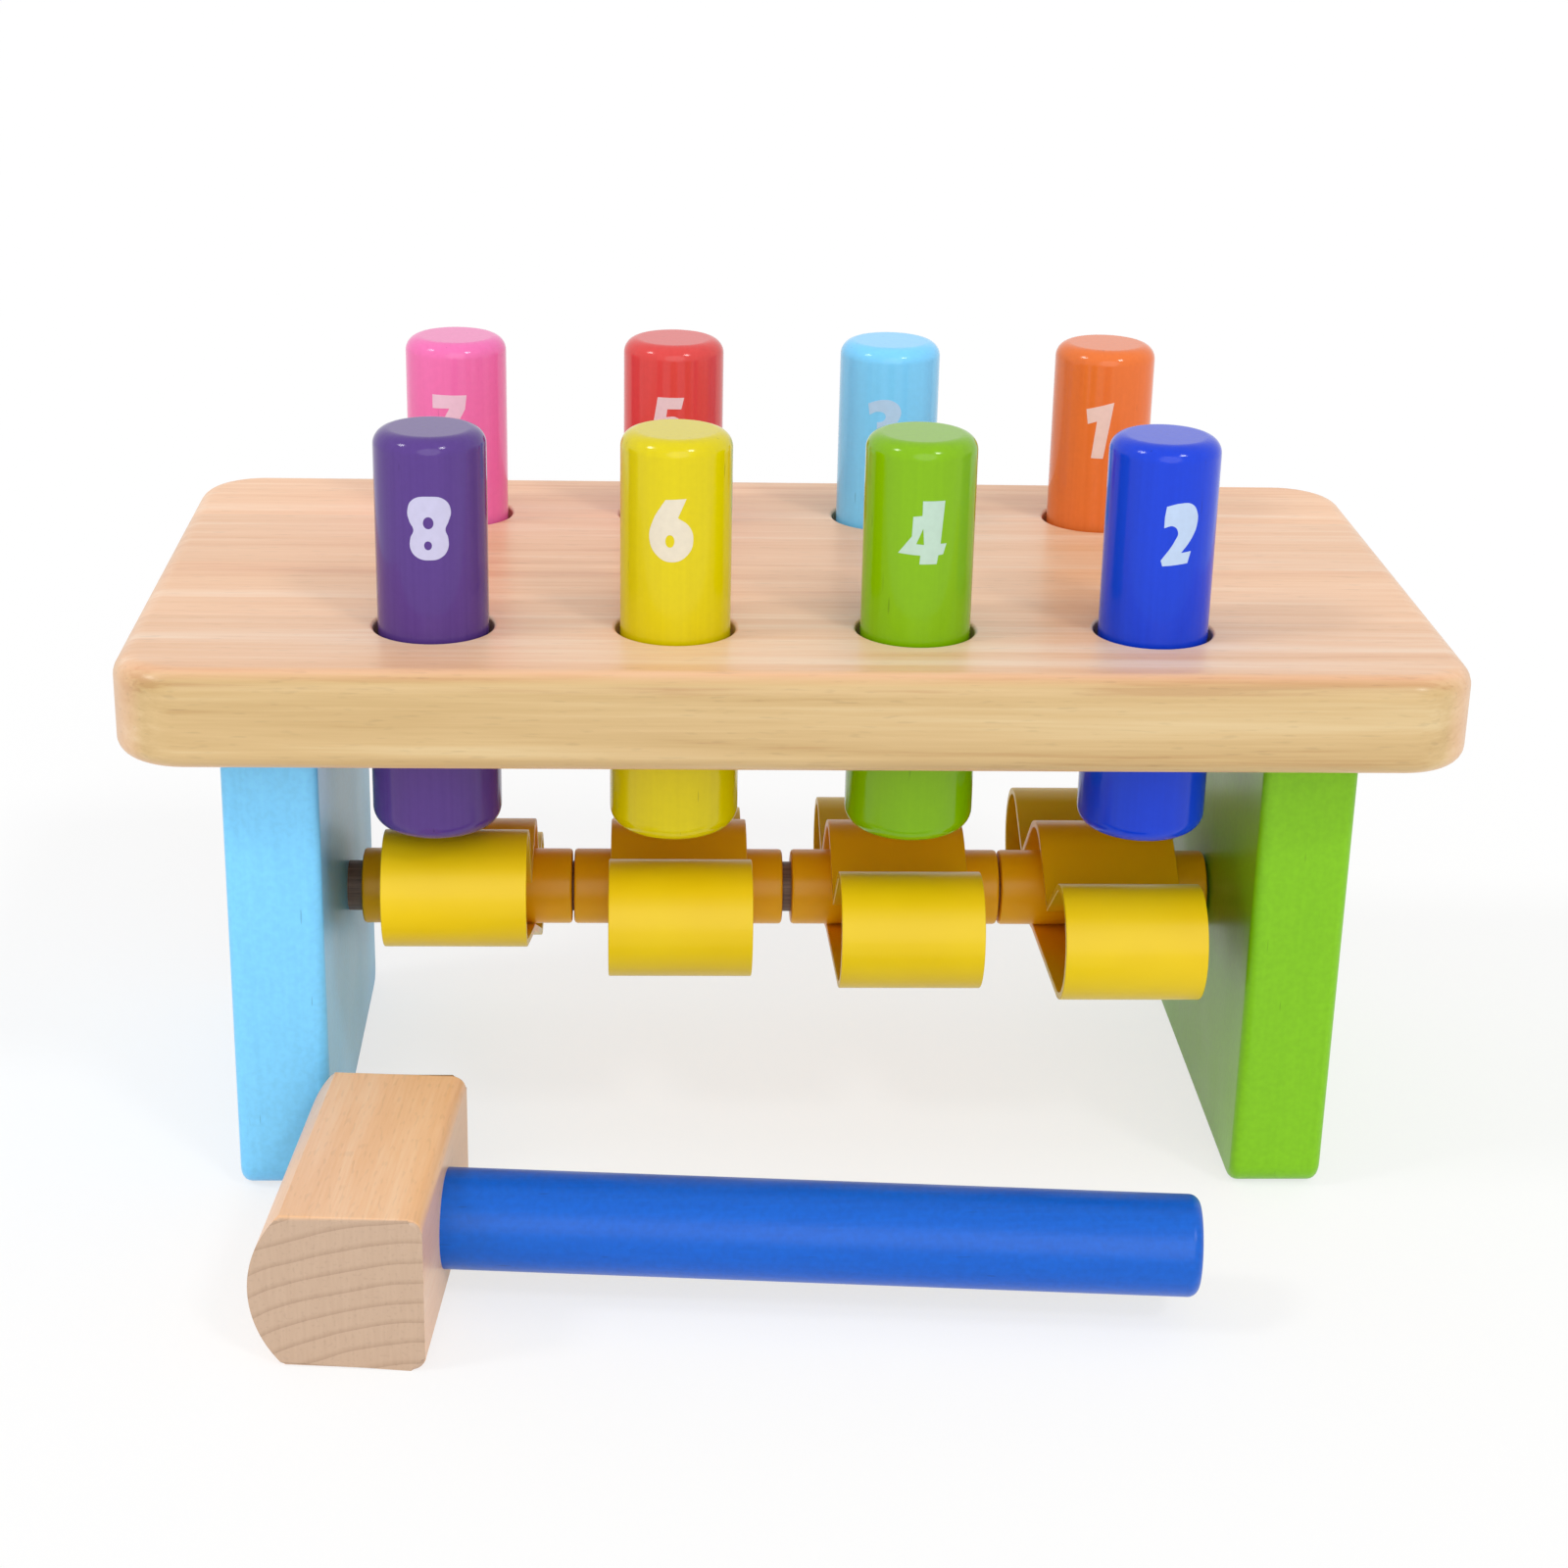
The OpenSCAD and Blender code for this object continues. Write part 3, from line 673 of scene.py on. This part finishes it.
rays = add_node(tree, "ShaderNodeTexNoise", {"Scale": 1.0, "Detail": 2.0},
                {"Vector": rays_at.outputs["Vector"]})
figure = add_node(tree, "ShaderNodeMath", {"operation": "MULTIPLY_ADD", 1: 0.5},
                  {0: fibres.outputs["Fac"], 2: streaks.outputs["Fac"]})
side_tone = add_node(tree, "ShaderNodeValToRGB",
                     {"stops": [(0.55, "#EFBC8E"), (0.75, "#F4C499"), (0.95, "#F8CFA9")]},
                     {"Fac": figure.outputs["Value"]})
late_wood = add_node(tree, "ShaderNodeMapRange", {"From Max": 0.28, "To Max": 0.5},
                     {"Value": rings.outputs["Fac"]})
end_figure = add_node(tree, "ShaderNodeMath", {"operation": "MULTIPLY_ADD", 1: 0.4},
                      {0: rays.outputs["Fac"], 2: late_wood.outputs["Result"]})
end_tone = add_node(tree, "ShaderNodeValToRGB",
                    {"stops": [(0.15, "#AA8E77"), (0.5, "#B89C84"), (0.78, "#C0A48C")]},
                    {"Fac": end_figure.outputs["Value"]})
facing = add_node(tree, "ShaderNodeNewGeometry")
normal = add_node(tree, "ShaderNodeSeparateXYZ", None, {"Vector": facing.outputs["Normal"]})
end_on = add_node(tree, "ShaderNodeMath", {"operation": "ABSOLUTE"}, {0: normal.outputs["Y"]})
end_mix = add_node(tree, "ShaderNodeMapRange", {"From Min": 0.3, "From Max": 0.7},
                   {"Value": end_on.outputs["Value"]})
tone = add_node(tree, "ShaderNodeMix", {"data_type": "RGBA"},
                {0: end_mix.outputs["Result"], 6: side_tone.outputs["Color"],
                 7: end_tone.outputs["Color"]})
# Flecks 0.6 mm by 3 mm
flecks_at = add_node(tree, "ShaderNodeMapping", {"Scale": [1 / 0.0006, 1 / 0.003, 1 / 0.0006]},
                     {"Vector": block.outputs["Vector"]})
flecks = add_node(tree, "ShaderNodeTexNoise", {"Scale": 1.0, "Detail": 0.0},
                  {"Vector": flecks_at.outputs["Vector"]})
fleck_tone = add_node(tree, "ShaderNodeMapRange",
                      {"From Min": 0.62, "From Max": 0.74, "To Min": 1.0, "To Max": 0.93},
                      {"Value": flecks.outputs["Fac"]})
colour = add_node(tree, "ShaderNodeVectorMath", {"operation": "SCALE"},
                  {0: tone.outputs[2], "Scale": fleck_tone.outputs["Result"]})
relief = add_node(tree, "ShaderNodeBump", {"Strength": 0.1, "Distance": 0.0003},
                  {"Height": fibres.outputs["Fac"]})
sheen = add_node(tree, "ShaderNodeMapRange", {"To Min": 0.28, "To Max": 0.40},
                 {"Value": streaks.outputs["Fac"]})
shader = add_node(tree, "ShaderNodeBsdfPrincipled", {"IOR": 1.45},
                  {"Base Color": colour.outputs["Vector"], "Roughness": sheen.outputs["Result"],
                   "Normal": relief.outputs["Normal"]})
add_node(tree, "ShaderNodeOutputMaterial", None, {"Surface": shader.outputs["BSDF"]})
set_piece("mallet_head_block", bm, beech_head, "mallet", "mallet_head")


# Mallet handle: a turned rod in blue gloss lacquer, rounded over at its free end.
# Its other end is glued into a blind socket in the head.
end_round, glued_arris, handle_steps = 0.002, 0.001, 96
profile = [(handle_r - glued_arris, -handle_in), (handle_r, -handle_in + glued_arris)] \
    + arc_points(handle_r - end_round, handle_out - end_round, end_round, 0, 90, 10)
bm = bmesh.new()
rings = []
for r, x in profile:
    rings.append([bm.verts.new(lay @ Vector((x, r * math.cos(a), r * math.sin(a))))
                  for a in (2 * math.pi * i / handle_steps for i in range(handle_steps))])
join_rings(bm, rings)
bm.faces.new(rings[0])
bm.faces.new(rings[-1])
lacquer = gloss_lacquer("blue_lacquer", "#005CC4", "#0056BC", grain=(1, 0, 0), gloss=0.32,
                        relief=0.06)
set_piece("mallet_handle_turned", bm, lacquer, "mallet", "mallet_handle")


# Studio: a plain white floor that runs out of the picture, three soft lamps and an even white sky.
# The camera stands where the photograph was taken from.
floor_reach = 6.0


def seen_directly(tree):
    """One where a camera, a reflection or clear stuff looks, and zero where light is gathered."""
    path = add_node(tree, "ShaderNodeLightPath")
    mirrored = add_node(tree, "ShaderNodeMath", {"operation": "MAXIMUM"},
                        {0: path.outputs["Is Camera Ray"], 1: path.outputs["Is Glossy Ray"]})
    return add_node(tree, "ShaderNodeMath", {"operation": "MAXIMUM"},
                    {0: mirrored.outputs["Value"], 1: path.outputs["Is Transmission Ray"]})


bm = bmesh.new()
bmesh.ops.create_grid(bm, x_segments=1, y_segments=1, size=floor_reach)
mesh = bpy.data.meshes.new("studio_floor")
bm.to_mesh(mesh)
bm.free()
floor = bpy.data.objects.new("studio_floor", mesh)
bpy.context.scene.collection.objects.link(floor)
# White paper: seen nearly white, with a light shadow of the bench
paper, tree = new_material("white_paper_floor")
seen = seen_directly(tree)
share = add_node(tree, "ShaderNodeMath", {"operation": "MULTIPLY", 1: 0.7},
                 {0: seen.outputs["Value"]})
matt = add_node(tree, "ShaderNodeBsdfDiffuse", {"Color": linear("#FBFBFB")})
white = add_node(tree, "ShaderNodeEmission", {"Color": [1, 1, 1, 1], "Strength": 1.0})
shader = add_node(tree, "ShaderNodeMixShader", None,
                  {0: share.outputs["Value"], 1: matt.outputs["BSDF"],
                   2: white.outputs["Emission"]})
add_node(tree, "ShaderNodeOutputMaterial", None, {"Surface": shader.outputs["Shader"]})
mesh.materials.append(paper)

sky = bpy.data.worlds.new("white_sky")
sky.use_nodes = True
tree = sky.node_tree
tree.nodes.clear()
seen = seen_directly(tree)
level = add_node(tree, "ShaderNodeMapRange", {"To Min": 0.68, "To Max": 1.0},
                 {"Value": seen.outputs["Value"]})
glow = add_node(tree, "ShaderNodeBackground", {"Color": [1, 1, 1, 1]},
                {"Strength": level.outputs["Result"]})
add_node(tree, "ShaderNodeOutputWorld", None, {"Surface": glow.outputs["Background"]})
bpy.context.scene.world = sky

for name, toward, strength, spread in (("front_fill", (0.05, -0.93, 0.37), 0.8, 45),
                                       ("right_softbox", (0.42, -0.57, 0.71), 0.6, 10),
                                       ("left_softbox", (-0.66, -0.20, 0.72), 0.6, 12)):
    lamp = bpy.data.lights.new(name, "SUN")
    lamp.energy = strength
    lamp.angle = math.radians(spread)
    softbox = bpy.data.objects.new(name, lamp)
    softbox.rotation_euler = Vector(toward).to_track_quat("Z", "Y").to_euler()
    bpy.context.scene.collection.objects.link(softbox)

lens = bpy.data.cameras.new("photo_view")
lens.sensor_width = 36
lens.lens = 66.58
view = bpy.data.objects.new("photo_view", lens)
yaw, pitch, roll = math.radians(2.90), math.radians(21.20), math.radians(-1.32)
ahead = Vector((math.sin(yaw) * math.cos(pitch), math.cos(yaw) * math.cos(pitch), -math.sin(pitch)))
right = Vector((math.cos(yaw), -math.sin(yaw), 0))
down = ahead.cross(right)
across = math.cos(roll) * right + math.sin(roll) * down
upright = math.sin(roll) * right - math.cos(roll) * down
turn = Matrix((across, upright, -ahead)).transposed().to_4x4()
board_top = Vector((0, (board_low.y + board_high.y) / 2, board_high.z))
stand = board_top + Vector((-0.0267, -0.5366, 0.1635))
view.matrix_world = Matrix.Translation(stand) @ turn
bpy.context.scene.collection.objects.link(view)
bpy.context.scene.camera = view
bpy.context.scene.view_settings.view_transform = "Standard"
